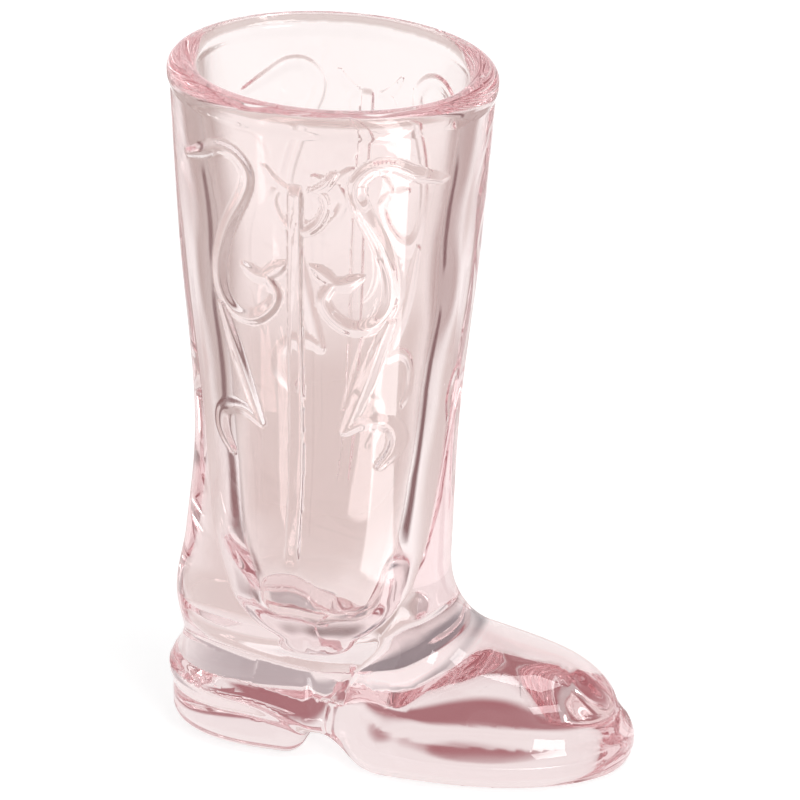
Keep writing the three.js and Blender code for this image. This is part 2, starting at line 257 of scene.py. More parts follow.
@dataclass(frozen=True)
class ScrollRelief:
    """The raised western scrolls on both sides of the leg, and the side seams."""

    middle: float = 0.8
    seam: float = 0.2
    seam_half_width: float = 1.15
    seam_proud: float = 0.48
    seam_top: float = 91.0
    seam_top_run: float = 2.0
    seam_foot: float = 30.0
    seam_foot_run: float = 4.0
    foot: float = 29.0
    strokes: tuple[Stroke, ...] = (
        Stroke((
            (17.8, 90.6, 0.7), (15.0, 92.2, 1.1), (12.3, 93.8, 1.2), (9.8, 93.6, 1.2),
            (8.0, 91.8, 1.2), (7.7, 89.8, 1.2), (8.5, 87.2, 1.2), (10.8, 82.0, 1.2),
            (12.1, 76.6, 1.2), (11.9, 72.2, 1.2), (10.0, 69.4, 1.2), (7.0, 69.0, 1.2),
            (4.5, 70.8, 1.1), (3.4, 73.4, 1.0), (4.6, 75.8, 0.8),
        )),
        Stroke(((2.1, 78.3, 0.6), (3.4, 77.2, 1.2), (5.0, 75.8, 0.8)), proud=0.3),
        Stroke(((4.6, 75.7, 0.8), (6.4, 75.9, 1.2), (8.2, 76.9, 0.6)), proud=0.3),
        Stroke((
            (0.6, 83.6, 0.7), (1.6, 84.0, 0.8), (2.9, 85.4, 0.8), (3.7, 87.8, 0.8),
            (3.1, 89.6, 0.8), (1.6, 90.0, 0.6),
        ), proud=0.2),
        Stroke(((2.0, 90.0, 0.7), (3.6, 91.0, 0.9), (4.9, 92.8, 0.5)), proud=0.2),
        Stroke(((11.8, 69.6, 0.8), (9.2, 61.8, 1.2), (6.1, 52.8, 0.9))),
        Stroke((
            (6.0, 52.6, 0.8), (8.2, 53.9, 1.1), (10.5, 53.9, 1.2), (12.1, 52.6, 1.2),
            (12.4, 50.6, 1.2), (11.9, 48.9, 1.1), (10.5, 46.9, 0.7),
        )),
    )

    def raised(self, offset: Array, z: Array) -> Array:
        """Works out how far the ornament raises the leg's surface.

        Args:
            offset: Places measured forwards from the leg's middle.
            z: Heights.

        Returns:
            How far each point is raised.
        """
        across = np.abs(offset - self.middle)
        total = np.zeros(across.shape)
        for stroke in self.strokes:
            total = np.maximum(total, stroke.raised(across, z))
        ends = smooth_step((z - self.seam_foot) / self.seam_foot_run)
        ends = ends * smooth_step((self.seam_top - z) / self.seam_top_run)
        flat = np.maximum(1 - ((offset - self.seam) / self.seam_half_width) ** 4, 0.0)
        return np.maximum(total, self.seam_proud * flat * ends)


@dataclass(frozen=True)
class LegForm:
    """The leg's outside: oval sections from the heel seat up to a slightly beaded rim."""

    height: float = 101.4
    sections: Stations = Stations(
        (13.0, 19.5, 29.0, 46.0, 76.0, 98.2),
        (1.7, 0.8, 2.3, 3.8, 1.75, 0.7),
        (38.0, 39.6, 40.1, 40.9, 44.2, 46.2),
        (20.4, 26.6, 27.8, 28.6, 33.3, 35.9),
    )
    bead_foot: float = 97.6
    bead_rise: float = 1.6
    bead_proud: float = 0.35
    root: float = 9.0

    def distance(self, place: Array, y: Array, z: Array) -> Array:
        """Measures how far points are outside the leg, without its open top.

        Args:
            place: Places along the boot.
            y: Offsets across it.
            z: Heights.

        Returns:
            Distances, negative inside.
        """
        wall = self.sections.distance(place, y, z)
        wall = wall - self.bead_proud * smooth_step((z - self.bead_foot) / self.bead_rise)
        return np.maximum(wall, self.root - z)


@dataclass(frozen=True)
class CupForm:
    """The hollow that holds the drink: oval sections over a rounded floor."""

    floor: float = 15.6
    floor_radius: float = 7.2
    lip_radius: float = 1.7
    flutes: int = 7
    flute_depth: float = 0.15
    flute_top: float = 31.0
    flute_run: float = 12.0
    middle: float = 21.6
    sections: Stations = Stations(
        (15.6, 23.0, 31.0, 42.0, 54.0, 66.0, 76.0, 88.0, 101.4),
        (12.9, 11.4, 9.9, 9.6, 9.0, 7.9, 7.1, 5.7, 4.35),
        (30.1, 31.8, 33.5, 34.9, 36.2, 37.9, 38.9, 40.7, 42.55),
        (13.6, 15.8, 18.0, 19.2, 20.4, 22.4, 24.0, 26.4, 28.6),
    )

    def distance(self, place: Array, y: Array, z: Array) -> Array:
        """Measures how far points are outside the hollow.

        Args:
            place: Places along the boot.
            y: Offsets across it.
            z: Heights.

        Returns:
            Distances, negative inside.
        """
        wall = self.sections.distance(place, y, z)
        fade = smooth_step((self.flute_top - z) / self.flute_run)
        turn = np.arctan2(y, place - self.middle)
        wall = wall + self.flute_depth * np.cos(self.flutes * turn) * fade
        return round_cut(wall, self.floor - z, self.floor_radius)


@dataclass(frozen=True)
class SoleForm:
    """The sole: one thick rounded edge all round, which the shank lifts to the heel seat."""

    length: float = 66.6
    thick: float = 5.5
    edge_radius: float = 2.0
    top_radius: float = 2.2
    crown: float = 0.7
    crown_run: float = 8.0
    heel_round: float = 16.0
    heel_half: float = 13.1
    heel_square: float = 2.2
    ball: float = 41.2
    ball_half: float = 15.0
    toe_square: float = 2.05
    side: Curve = Curve(
        (16.0, 22.3, 25.6, 34.4, 41.2), (13.1, 12.6, 10.6, 14.1, 15.0), level_ends=True
    )
    lift: float = 5.8
    shank_back: float = 13.0
    shank_front: float = 34.5
    shoulder: Curve = Curve((0.0, 16.0, 22.3, 34.4), (3.4, 5.2, 5.2, 0.7), level_ends=True)
    shoulder_inset: float = 3.4

    def lifted(self, place: Array) -> Array:
        """Gives how far the shank lifts the sole at each place."""
        share = (self.shank_front - place) / (self.shank_front - self.shank_back)
        return self.lift * smooth_step(share)

    def outline(self, place: Array, y: Array) -> Array:
        """Measures how far points are outside the sole, seen from above.

        Args:
            place: Places along the boot.
            y: Offsets across it.

        Returns:
            Distances, negative inside.
        """
        half = self.side(place)
        slope = (self.side(place + NUDGE) - self.side(place - NUDGE)) / (2 * NUDGE)
        sides = (np.abs(y) - half) / np.hypot(1.0, slope)
        toe_reach = self.length - self.ball
        toe = squared_round(place - self.ball, y, toe_reach, self.ball_half, self.toe_square)
        heel = squared_round(
            self.heel_round - place, y, self.heel_round, self.heel_half, self.heel_square
        )
        return np.where(place > self.ball, toe, np.where(place < self.heel_round, heel, sides))

    def distance(self, place: Array, y: Array, z: Array) -> Array:
        """Measures how far points are outside the sole.

        Args:
            place: Places along the boot.
            y: Offsets across it.
            z: Heights.

        Returns:
            Distances, negative inside.
        """
        edge = self.outline(place, y)
        base = self.lifted(place)
        rise = self.shoulder(place)
        inset = self.shoulder_inset
        ramp = np.clip((-edge - self.top_radius / 2) / (inset - self.top_radius / 2), 0.0, 1.0)
        lean = 1.0 / np.hypot(1.0, rise / inset)
        top = (z - base - self.thick - rise * ramp) * lean
        roll = self.crown * np.clip(1 + edge / self.crown_run, 0.0, 1.0) ** 2
        body = round_cut(edge, base + roll - z, self.edge_radius)
        return round_cut(body, top, self.top_radius)


@dataclass(frozen=True)
class HeelForm:
    """The low heel block with a straight breast."""

    back: float = 0.4
    half_width: float = 12.7
    heel_round: float = 16.0
    square: float = 2.2
    breast: float = 22.3
    breast_radius: float = 3.0
    edge_radius: float = 2.2
    crown: float = 0.6
    crown_run: float = 6.0
    buried: float = 2.7

    def distance(self, place: Array, y: Array, z: Array, top: Array) -> Array:
        """Measures how far points are outside the heel block.

        Args:
            place: Places along the boot.
            y: Offsets across it.
            z: Heights.
            top: The height of the sole's underside at each place.

        Returns:
            Distances, negative inside.
        """
        reach = self.heel_round - self.back
        back = squared_round(self.heel_round - place, y, reach, self.half_width, self.square)
        block = round_cut(back, place - self.breast, self.breast_radius)
        roll = self.crown * np.clip(1 + block / self.crown_run, 0.0, 1.0) ** 2
        block = round_cut(block, roll - z, self.edge_radius)
        return np.maximum(block, z - top - self.buried)


@dataclass(frozen=True)
class VampForm:
    """The foot's upper: a dome that runs from the instep down to a blunt round toe."""

    back: float = 16.0
    top: float = 18.0
    top_place: float = 44.0
    toe_top: float = 16.34
    toe_start: float = 52.0
    toe_end: float = 64.6
    toe_round: float = 3.0
    square: float = 2.0
    ball: float = 41.2
    half: float = 13.0
    toe_square: float = 2.05
    ledge: float = 2.0
    fillet: float = 7.0
    fillet_back: float = 0.4
    fillet_start: float = 29.0
    fillet_run: float = 9.0
    root: float = 2.0
    least_rise: float = 1.0
    least_share: float = 0.001
    least_steep: float = 0.02
    reach: float = 8.0

    def instep_fillet(self, place: Array) -> Array:
        """Gives the fillet between the leg and the dome, which fades out along the waist."""
        share = smooth_step((place - self.fillet_start) / self.fillet_run)
        return self.fillet_back + (self.fillet - self.fillet_back) * share

    def level(self, place: Array, y: Array, z: Array, sole: SoleForm) -> Array:
        """Gives a number that is negative inside the dome and positive outside.

        Args:
            place: Places along the boot.
            y: Offsets across it.
            z: Heights.
            sole: The sole that the dome stands on.

        Returns:
            The level at each point.
        """
        base = sole.thick + sole.lifted(place)
        fall = (self.top - self.toe_top) / (self.toe_start - self.top_place)
        rise = np.maximum(self.top - fall * (place - self.top_place) - base, self.least_rise)
        width = np.minimum(self.half, sole.side(place) - self.ledge)
        plan = 1 - np.maximum((place - self.ball) / (self.toe_end - self.ball), 0) ** self.toe_square
        nose = np.maximum((place - self.toe_start) / (self.toe_end - self.toe_start), 0)
        roll = 1 - nose**self.toe_round
        taper = np.maximum(plan, self.least_share) ** (1 / self.toe_square)
        drop = np.maximum(roll, self.least_share) ** (1 / self.toe_round)
        size = np.sign(plan) * np.abs(plan) ** (self.square / self.toe_square)
        across = (np.abs(y) / width) ** self.square
        above = (np.maximum(z - base, 0) * taper / (rise * drop)) ** self.square
        return across + above - size

    def distance(self, place: Array, y: Array, z: Array, sole: SoleForm) -> Array:
        """Measures how far points are outside the dome.

        Args:
            place: Places along the boot.
            y: Offsets across it.
            z: Heights.
            sole: The sole that the dome stands on.

        Returns:
            Distances, negative inside, true near the surface.
        """
        level = self.level(place, y, z, sole)
        dx = (self.level(place + NUDGE, y, z, sole) - level) / NUDGE
        dy = (self.level(place, np.abs(y) + NUDGE, z, sole) - level) / NUDGE
        dz = (self.level(place, y, z + NUDGE, sole) - level) / NUDGE
        steep = np.maximum(np.sqrt(dx**2 + dy**2 + dz**2), self.least_steep)
        dome = np.clip(level / steep, -self.reach, self.reach)
        floor = sole.lifted(place) + self.root
        return np.maximum(np.maximum(dome, self.back - place), floor - z)


@dataclass(frozen=True)
class PinkGlass:
    """The finish: clear pale pink pressed glass, polished by fire.

    A size is the number of marks in a metre, and a depth is in metres.
    """

    tint: Point = (0.935, 0.884, 0.875)
    body: Point = (0.93, 0.66, 0.69)
    density: float = 11.0
    bend: float = 1.5
    smooth: float = 0.0
    dull: float = 0.03
    cloud_size: float = 47.5
    cloud_detail: float = 3.0
    cloud_share: float = 0.4
    dull_from: float = 0.45
    dull_to: float = 0.75
    wave_size: float = 95.0
    wave_depth: float = 0.00003
    chill_size: float = 420.0
    chill_depth: float = 0.000002
    skin_detail: float = 1.0
    pit_size: float = 70.0
    pit_spot: float = 0.02
    pit_depth: float = 0.00006

    def material(self) -> bpy.types.Material:
        """Makes the glass: tinted faces, a coloured body and a faintly rippled, pitted skin.

        Returns:
            The material.
        """
        made = bpy.data.materials.new("pink_glass")
        made.use_nodes = True
        tree = made.node_tree
        tree.nodes.clear()
        out = tree.nodes.new("ShaderNodeOutputMaterial")
        glass = tree.nodes.new("ShaderNodeBsdfPrincipled")
        body = tree.nodes.new("ShaderNodeVolumeAbsorption")
        spot = tree.nodes.new("ShaderNodeTexCoord")
        glass.inputs["Transmission Weight"].default_value = 1.0
        glass.inputs["IOR"].default_value = self.bend
        body.inputs["Color"].default_value = (*self.body, 1.0)
        body.inputs["Density"].default_value = self.density
        self.colour(tree, spot, glass)
        self.skin(tree, spot, glass)
        tree.links.new(glass.outputs["BSDF"], out.inputs["Surface"])
        tree.links.new(body.outputs["Volume"], out.inputs["Volume"])
        return made

    def colour(self, tree: bpy.types.NodeTree, spot: bpy.types.Node, glass: bpy.types.Node) -> None:
        """Adds the faint cloudiness of the tint and of the polish.

        Args:
            tree: The material's nodes.
            spot: The node that gives places on the object.
            glass: The glass shader.
        """
        cloud = tree.nodes.new("ShaderNodeTexNoise")
        cloud.inputs["Scale"].default_value = self.cloud_size
        cloud.inputs["Detail"].default_value = self.cloud_detail
        tone = tree.nodes.new("ShaderNodeMix")
        tone.data_type = "RGBA"
        deep = tuple(c * c for c in self.tint)
        tone.inputs["A"].default_value = (*self.tint, 1.0)
        tone.inputs["B"].default_value = (*deep, 1.0)
        polish = tree.nodes.new("ShaderNodeMapRange")
        polish.inputs["From Min"].default_value = self.dull_from
        polish.inputs["From Max"].default_value = self.dull_to
        polish.inputs["To Min"].default_value = self.smooth
        polish.inputs["To Max"].default_value = self.dull
        faint = tree.nodes.new("ShaderNodeMapRange")
        faint.inputs["To Max"].default_value = self.cloud_share
        tree.links.new(spot.outputs["Object"], cloud.inputs["Vector"])
        tree.links.new(cloud.outputs["Fac"], faint.inputs["Value"])
        tree.links.new(faint.outputs["Result"], tone.inputs["Factor"])
        tree.links.new(tone.outputs["Result"], glass.inputs["Base Color"])
        tree.links.new(cloud.outputs["Fac"], polish.inputs["Value"])
        tree.links.new(polish.outputs["Result"], glass.inputs["Roughness"])

    def skin(self, tree: bpy.types.NodeTree, spot: bpy.types.Node, glass: bpy.types.Node) -> None:
        """Adds the mould's soft waves, its fine chill marks and a few pin-head pits.

        Args:
            tree: The material's nodes.
            spot: The node that gives places on the object.
            glass: The glass shader.
        """
        last = None
        for scale, depth in ((self.wave_size, self.wave_depth), (self.chill_size, self.chill_depth)):
            wave = tree.nodes.new("ShaderNodeTexNoise")
            wave.inputs["Scale"].default_value = scale
            wave.inputs["Detail"].default_value = self.skin_detail
            bump = tree.nodes.new("ShaderNodeBump")
            bump.inputs["Distance"].default_value = depth
            tree.links.new(spot.outputs["Object"], wave.inputs["Vector"])
            tree.links.new(wave.outputs["Fac"], bump.inputs["Height"])
            if last:
                tree.links.new(last.outputs["Normal"], bump.inputs["Normal"])
            last = bump
        seed = tree.nodes.new("ShaderNodeTexVoronoi")
        seed.inputs["Scale"].default_value = self.pit_size
        near = tree.nodes.new("ShaderNodeMapRange")
        near.inputs["From Max"].default_value = self.pit_spot
        pit = tree.nodes.new("ShaderNodeBump")
        pit.inputs["Distance"].default_value = self.pit_depth
        tree.links.new(spot.outputs["Object"], seed.inputs["Vector"])
        tree.links.new(seed.outputs["Distance"], near.inputs["Value"])
        tree.links.new(near.outputs["Result"], pit.inputs["Height"])
        tree.links.new(last.outputs["Normal"], pit.inputs["Normal"])
        tree.links.new(pit.outputs["Normal"], glass.inputs["Normal"])


@dataclass
class BootGlass:
    """The whole pressed glass: leg, cup, foot, sole, heel and ornament in one skin."""

    leg: LegForm = field(default_factory=LegForm)
    cup: CupForm = field(default_factory=CupForm)
    vamp: VampForm = field(default_factory=VampForm)
    sole: SoleForm = field(default_factory=SoleForm)
    heel: HeelForm = field(default_factory=HeelForm)
    relief: ScrollRelief = field(default_factory=ScrollRelief)
    finish: PinkGlass = field(default_factory=PinkGlass)
    crease: Curve = Curve(
        (6.0, 18.0, 25.0, 31.0, 36.0, 42.0),
        (0.6, 1.2, 1.8, 5.0, 4.0, 3.0),
        level_ends=True,
    )
    heel_crease: float = 1.0
    half_width: float = 18.3
    foot_top: float = 28.0
    cell: float = 0.7
    coarse_cell: float = 1.0
    turn: float = 10.0
    margin: float = 1.5
    near: float = 1.3
    nudge: float = 0.03
    least_slope: float = 0.2
    longest_step: float = 0.4
    first_settles: int = 2
    rounds: int = 6
    drift_share: float = 0.5
    last_settles: int = 3

    def distance(self, points: Array) -> Array:
        """Measures how far points are outside the glass.

        Args:
            points: Rows of (place, y, z).

        Returns:
            Distances, negative in the glass.
        """
        place, y, z = points.T
        boot = self.leg.distance(place, y, z)
        close = (np.abs(boot) < self.near) & (z > self.relief.foot)
        offset = place[close] - self.leg.sections.middle(z[close])
        boot[close] -= self.relief.raised(offset, z[close])
        low = z < self.foot_top
        boot[low] = self.with_foot(boot[low], place[low], y[low], z[low])
        boot = round_cut(boot, z - self.leg.height, self.cup.lip_radius)
        return round_cut(boot, -self.cup.distance(place, y, z), self.cup.lip_radius)

    def with_foot(self, leg: Array, place: Array, y: Array, z: Array) -> Array:
        """Joins the vamp, the sole and the heel to the leg.

        Args:
            leg: Distances to the leg.
            place: Places along the boot.
            y: Offsets across it.
            z: Heights.

        Returns:
            Distances to the leg with its foot.
        """
        vamp = self.vamp.distance(place, y, z, self.sole)
        upper = round_join(leg, vamp, self.vamp.instep_fillet(place))
        sole = self.sole.distance(place, y, z)
        heel = self.heel.distance(place, y, z, self.sole.lifted(place))
        foot = round_join(sole, heel, self.heel_crease)
        return round_join(upper, foot, self.crease(place))

    def slope(self, points: Array) -> Array:
        """Gives the way in which the distance grows at each point.

        Args:
            points: Rows of (place, y, z).

        Returns:
            Rows of slopes.
        """
        rows = []
        for axis in np.eye(3) * self.nudge:
            grown = self.distance(points + axis) - self.distance(points - axis)
            rows.append(grown / (2 * self.nudge))
        return np.stack(rows, axis=1)

    def settled(self, points: Array) -> tuple[Array, Array]:
        """Moves points onto the surface.

        Args:
            points: Rows of (place, y, z) near the surface.

        Returns:
            The moved points and the way the surface faces at each.
        """
        slope = self.slope(points)
        size = np.maximum(np.linalg.norm(slope, axis=1, keepdims=True), self.least_slope)
        step = self.distance(points)[:, None] / size
        step = np.clip(step, -self.longest_step, self.longest_step)
        facing = slope / size
        return points - facing * step, facing

    def skin(self) -> tuple[Array, list, Array]:
        """Wraps the glass in a fine net of faces.

        Returns:
            Points, faces, and the way the surface faces at each point.
        """
        cell = self.cell
        low = np.array([0.0, -self.half_width, 0.0]) - self.margin
        high = np.array([self.sole.length, self.half_width, self.leg.height]) + self.margin
        count = np.ceil((high - low) / cell).astype(int) + 1
        axes = [low[i] + cell * np.arange(count[i]) for i in range(3)]
        values = np.empty(tuple(count))
        for i, place in enumerate(axes[0]):
            y, z = np.meshgrid(axes[1], axes[2], indexing="ij")
            rows = np.stack([np.full(y.size, place), y.ravel(), z.ravel()], axis=1)
            values[i] = self.distance(rows).reshape(y.shape)
        points, faces = net(values)
        points = low + points * cell
        for _ in range(self.first_settles):
            points, facing = self.settled(points)
        for _ in range(self.rounds):
            drift = spread(points, faces) - points
            drift -= facing * np.sum(drift * facing, axis=1, keepdims=True)
            points, facing = self.settled(points + self.drift_share * drift)
        points, facing = self.settled(points)
        return self.refined(points, faces, facing)

    def refined(self, points: Array, faces: Array, facing: Array) -> tuple[Array, list, Array]:
        """Cuts the faces that turn sharply, such as ribs and edges, into smaller ones.

        Args:
            points: The net's points.
            faces: Its faces.
            facing: The way the surface faces at each point.

        Returns:
            The finer points and faces, and the way the surface faces at each point.
        """
        ways = facing[faces]
        least = np.min(np.sum(ways * np.roll(ways, -1, axis=1), axis=2), axis=1)
        across = np.sum(ways[:, :2] * ways[:, 2:], axis=2).min(axis=1)
        sharp = np.minimum(least, across) < math.cos(math.radians(self.turn))
        mesh = bpy.data.meshes.new("net")
        mesh.from_pydata(points.tolist(), [], faces.tolist())
        work = bmesh.new()
        work.from_mesh(mesh)
        work.faces.ensure_lookup_table()
        edges = {edge for i in np.flatnonzero(sharp) for edge in work.faces[i].edges}
        bmesh.ops.subdivide_edges(work, edges=list(edges), cuts=1, use_grid_fill=True)
        points = np.array([vertex.co[:] for vertex in work.verts])
        faces = [[vertex.index for vertex in face.verts] for face in work.faces]
        work.free()
        bpy.data.meshes.remove(mesh)
        for _ in range(self.last_settles):
            points, facing = self.settled(points)
        return points, faces, facing

    def build(self) -> bpy.types.Object:
        """Makes the glass as one mesh.

        Returns:
            The piece.
        """
        points, faces, facing = self.skin()
        places = points * MM
        half = self.sole.length / 2 * MM
        places[:, 0] = np.clip(places[:, 0] - half, -half, half)
        places[:, 2] = np.maximum(places[:, 2], 0.0)
        mesh = bpy.data.meshes.new("pressed_glass_boot")
        mesh.from_pydata(places.tolist(), [], faces)
        mesh.polygons.foreach_set("use_smooth", np.ones(len(faces), bool))
        mesh.normals_split_custom_set_from_vertices(facing.tolist())
        mesh.update()
        piece = bpy.data.objects.new("pressed_glass_boot", mesh)
        bpy.context.scene.collection.objects.link(piece)
        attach(piece, "root")
        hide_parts("glass_boot")
        return piece

    def dress(self, piece: bpy.types.Object) -> None:
        """Gives the piece its finish."""
        piece.data.materials.append(self.finish.material())


def net(values: Array) -> tuple[Array, Array]:
    """Finds the surface where a grid of numbers changes sign.

    Args:
        values: Numbers on a grid, negative inside.

    Returns:
        Points in units of the grid, and four-sided faces that look outwards.
    """
    inside = values < 0
    corners = [(i, j, k) for i in (0, 1) for j in (0, 1) for k in (0, 1)]
    size = np.array(values.shape) - 1
    held = np.zeros(tuple(size), int)
    for i, j, k in corners:
        held += inside[i:i + size[0], j:j + size[1], k:k + size[2]]
    cells = np.argwhere((held > 0) & (held < 8))
    number = np.full(tuple(size), -1)
    number[tuple(cells.T)] = np.arange(len(cells))
    total = np.zeros((len(cells), 3))
    crossings = np.zeros(len(cells))
    for axis in range(3):
        for corner in corners:
            if corner[axis]:
                continue
            start = cells + corner
            end = start + np.eye(3, dtype=int)[axis]
            a, b = values[tuple(start.T)], values[tuple(end.T)]
            crossed = (a < 0) != (b < 0)
            share = np.where(crossed, a / np.where(crossed, a - b, 1.0), 0.0)
            spot = start + share[:, None] * np.eye(3)[axis]
            total += np.where(crossed[:, None], spot, 0.0)
            crossings += crossed
    faces = []
    for axis in range(3):
        one, two = (axis + 1) % 3, (axis + 2) % 3
        first = np.take(inside, range(values.shape[axis] - 1), axis)
        second = np.take(inside, range(1, values.shape[axis]), axis)
        edges = np.argwhere(first != second)
        back = np.eye(3, dtype=int)
        ring = [edges - back[one] - back[two], edges - back[two], edges, edges - back[one]]
        quads = np.stack([number[tuple(spot.T)] for spot in ring], axis=1)
        outward = first[tuple(edges.T)]
        faces.append(np.where(outward[:, None], quads, quads[:, ::-1]))
    return total / crossings[:, None], np.concatenate(faces)


def spread(points: Array, faces: Array) -> Array:
    """Gives the middle of each point's neighbours.

    Args:
        points: The net's points.
        faces: Its four-sided faces.

    Returns:
        One middle for each point.
    """
    starts = faces.ravel()
    ends = np.roll(faces, -1, axis=1).ravel()
    count = np.bincount(starts, minlength=len(points)) + np.bincount(ends, minlength=len(points))
    middles = np.empty_like(points)
    for axis in range(3):
        total = np.bincount(starts, points[ends, axis], len(points))
        total += np.bincount(ends, points[starts, axis], len(points))
        middles[:, axis] = total / np.maximum(count, 1)
    return middles


@dataclass(frozen=True)
class SoftBox:
    """A lamp's place round the boot in degrees and metres, its size and its brightness."""

    azimuth: float
    elevation: float
    away: float
    width: float
    height: float
    bright: float


class Lamp(Enum):
    """The studio's soft boxes."""

    WINDOW = SoftBox(azimuth=42.0, elevation=34.0, away=1.0, width=0.34, height=0.2, bright=6.0)
    TOP = SoftBox(azimuth=72.0, elevation=72.0, away=0.9, width=0.34, height=0.3, bright=6.0)


@dataclass(frozen=True)
class Paper:
    """A card with soft edges, in metres and degrees.

    Right and away are as the camera sees them. A tilt of 90 lays the card flat.
    """

    right: float
    away: float
    up: float
    width: float
    length: float
    soft: float
    colour: Point
    tilt: float = 90.0
    turn: float = 0.0

    def material(self, name: str) -> bpy.types.Material:
        """Makes the card's colour, which fades out along its edges.

        Args:
            name: The material's name.

        Returns:
            The material.
        """
        made = bpy.data.materials.new(name)
        made.use_nodes = True
        tree = made.node_tree
        tree.nodes.clear()
        out = tree.nodes.new("ShaderNodeOutputMaterial")
        glow = tree.nodes.new("ShaderNodeEmission")
        glow.inputs["Color"].default_value = (*self.colour, 1.0)
        clear = tree.nodes.new("ShaderNodeBsdfTransparent")
        mix = tree.nodes.new("ShaderNodeMixShader")
        both = tree.nodes.new("ShaderNodeMath")
        both.operation = "MULTIPLY"
        spot = tree.nodes.new("ShaderNodeTexCoord")
        parts = tree.nodes.new("ShaderNodeSeparateXYZ")
        tree.links.new(spot.outputs["Object"], parts.inputs["Vector"])
        for number, size in enumerate((self.width, self.length)):
            off = tree.nodes.new("ShaderNodeMath")
            off.operation = "ABSOLUTE"
            fade = tree.nodes.new("ShaderNodeMapRange")
            fade.interpolation_type = "SMOOTHSTEP"
            fade.inputs["From Min"].default_value = size / 2
            fade.inputs["From Max"].default_value = size / 2 - self.soft
            tree.links.new(parts.outputs[number], off.inputs[0])
            tree.links.new(off.outputs[0], fade.inputs["Value"])
            tree.links.new(fade.outputs["Result"], both.inputs[number])
        tree.links.new(both.outputs[0], mix.inputs["Fac"])
        tree.links.new(clear.outputs[0], mix.inputs[1])
        tree.links.new(glow.outputs[0], mix.inputs[2])
        tree.links.new(mix.outputs[0], out.inputs["Surface"])
        return made


class Card(Enum):
    """The cards in front of the boot, beside it, under it and behind it. The small dark cards under
    and beside the boot are painted shade, the dark pink strips and the card behind are painted shadow,
    and the glowing pane paints highlights on the glass.
    """

    WALL = Paper(
        right=0.0, away=-1.14, up=0.37, tilt=18.0,
        width=2.6, length=1.3, soft=0.3, colour=(0.62, 0.58, 0.58),
    )
    TABLE = Paper(
        right=0.0, away=-0.64, up=0.0005,
        width=1.6, length=0.9, soft=0.2, colour=(0.62, 0.58, 0.58),
    )
    LEFT = Paper(
        right=-0.172, away=0.18, up=0.0005,
        width=0.24, length=0.32, soft=0.04, colour=(0.58, 0.48, 0.46),
    )
    RIGHT = Paper(
        right=0.172, away=0.16, up=0.0005,
        width=0.24, length=0.36, soft=0.04, colour=(0.58, 0.46, 0.45),
    )
    # Painted shadow: a dark pink strip on the floor left of the boot, for the glass's tinted shadow;
    # only the glass sees it.
    PAINTED_SHADOW_LEFT = Paper(
        right=-0.085, away=0.052, up=0.0006, turn=-41.6,
        width=0.115, length=0.026, soft=0.01, colour=(0.2, 0.085, 0.085),
    )
    # Painted shadow: a dark pink strip on the floor right of the boot, for the glass's tinted shadow;
    # only the glass sees it.
    PAINTED_SHADOW_RIGHT = Paper(
        right=0.0745, away=0.033, up=0.0006, turn=29.6,
        width=0.1, length=0.022, soft=0.009, colour=(0.2, 0.075, 0.08),
    )
    # Painted shade: a dark card on the floor under the arch, in front of the heel's breast; only the
    # glass sees it.
    PAINTED_SHADE_UNDER_ARCH = Paper(
        right=-0.01, away=-0.0015, up=-0.00005,
        width=0.032, length=0.024, soft=0.011, colour=(0.36, 0.28, 0.28),
    )
    # Painted shade: a dark card on the floor under the lifted shank, where the sole steps down; only
    # the glass sees it.
    STEP = Paper(
        right=0.002, away=0.011, up=-0.00004,
        width=0.013, length=0.011, soft=0.004, colour=(0.32, 0.29, 0.31),
    )
    # Painted shade: a grey strip on the floor close along the heel's far side; only the glass sees it.
    PAINTED_SHADE_BY_HEEL = Paper(
        right=-0.0185, away=0.0222, up=0.00005,
        width=0.024, length=0.007, soft=0.003, colour=(0.54, 0.5, 0.52),
    )
    # Painted shadow: a pinkish grey card on the floor behind the boot darkens the floor there; only
    # the glass sees it.
    PAINTED_SHADOW_BEHIND = Paper(
        right=-0.005, away=0.088, up=0.0004,
        width=0.16, length=0.145, soft=0.045, colour=(0.8, 0.715, 0.695),
    )
    # Painted highlight: a glowing card that is no lamp and lights nothing; it shows only in the glass,
    # as highlights.
    PAINTED_HIGHLIGHT_PANE = Paper(
        right=0.054, away=-0.1, up=0.0007, turn=-54.0,
        width=0.13, length=0.032, soft=0.003, colour=(7.0, 7.0, 7.0),
    )


